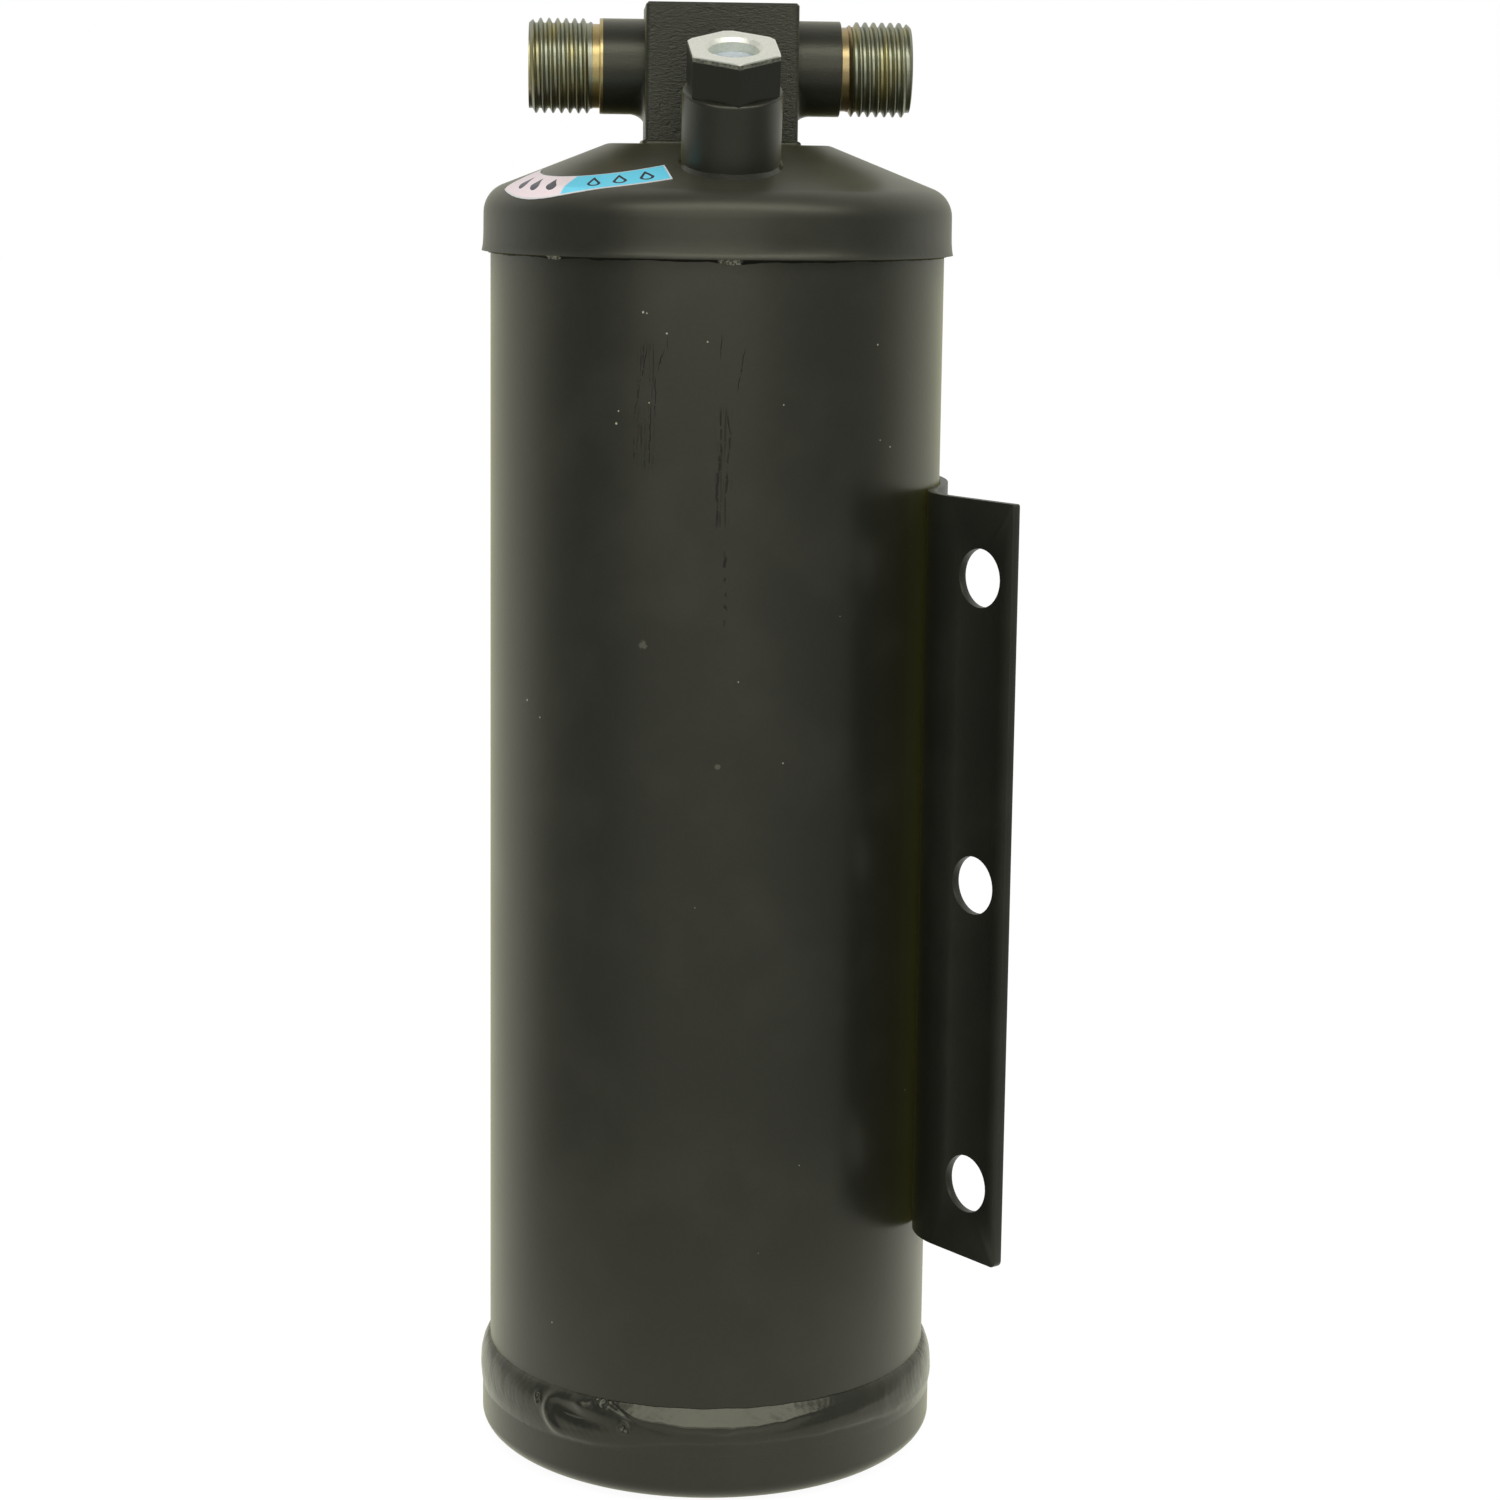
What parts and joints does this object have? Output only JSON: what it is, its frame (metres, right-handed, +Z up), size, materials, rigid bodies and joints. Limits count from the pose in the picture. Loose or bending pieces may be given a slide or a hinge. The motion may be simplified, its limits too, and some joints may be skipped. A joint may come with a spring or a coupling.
{
  "type": "receiver drier",
  "caption": "Tall painted steel canister with a domed cap, a header block with side fittings, a slanted sight glass, a moisture label and a side bracket.",
  "frame": {"origin": "on the canister's axis at the flat of its bottom", "axes": "+Z up the canister, +X along the outlet fitting, -Y to the front, where the sight glass is"},
  "size_m": [0.0867, 0.0799, 0.2468],
  "materials": {
    "black_paint": "satin black paint with a slight olive tint",
    "weld_paint": "satin black paint over a rippled weld",
    "block_paint": "black paint over mill scale",
    "bracket_paint": "matte black paint",
    "fitting_steel": "zinc plated and turned, olive and gold where bare",
    "plug_steel": "zinc plated, painted black on the flats",
    "seal_rubber": "black nitrile",
    "lens_glass": "clear pale blue glass",
    "indicator_paper": "pale blue moisture indicator",
    "label_film": "printed film, pink and sky blue fields",
    "plain_steel": "plain pressed steel",
    "spring_steel": "spring wire",
    "filter_felt": "white felt",
    "desiccant_beads": "bed of desiccant beads"
  },
  "bodies": {
    "root": {"canister_tube": "black_paint", "top_cap": "black_paint", "cap_braze_ring": "black_paint", "bottom_cup": "black_paint", "bottom_weld_bead": "weld_paint", "header_block": "block_paint", "header_weld": "block_paint", "inlet_fitting": "fitting_steel", "outlet_fitting": "fitting_steel", "inlet_braze_fillet": "block_paint", "outlet_braze_fillet": "block_paint", "sight_glass_boss": "black_paint", "boss_braze_ring": "black_paint", "sight_glass_plug": "plug_steel", "lens_seal": "seal_rubber", "sight_glass_lens": "lens_glass", "moisture_element": "indicator_paper", "indicator_label": "label_film", "mounting_bracket": "bracket_paint", "bracket_welds": "weld_paint", "pickup_tube": "plain_steel", "strainer": "plain_steel", "lower_retainer": "plain_steel", "lower_filter_pad": "filter_felt", "desiccant_charge": "desiccant_beads", "upper_filter_pad": "filter_felt", "upper_perforated_plate": "plain_steel", "compression_spring": "spring_steel"}
  },
  "joints": []
}
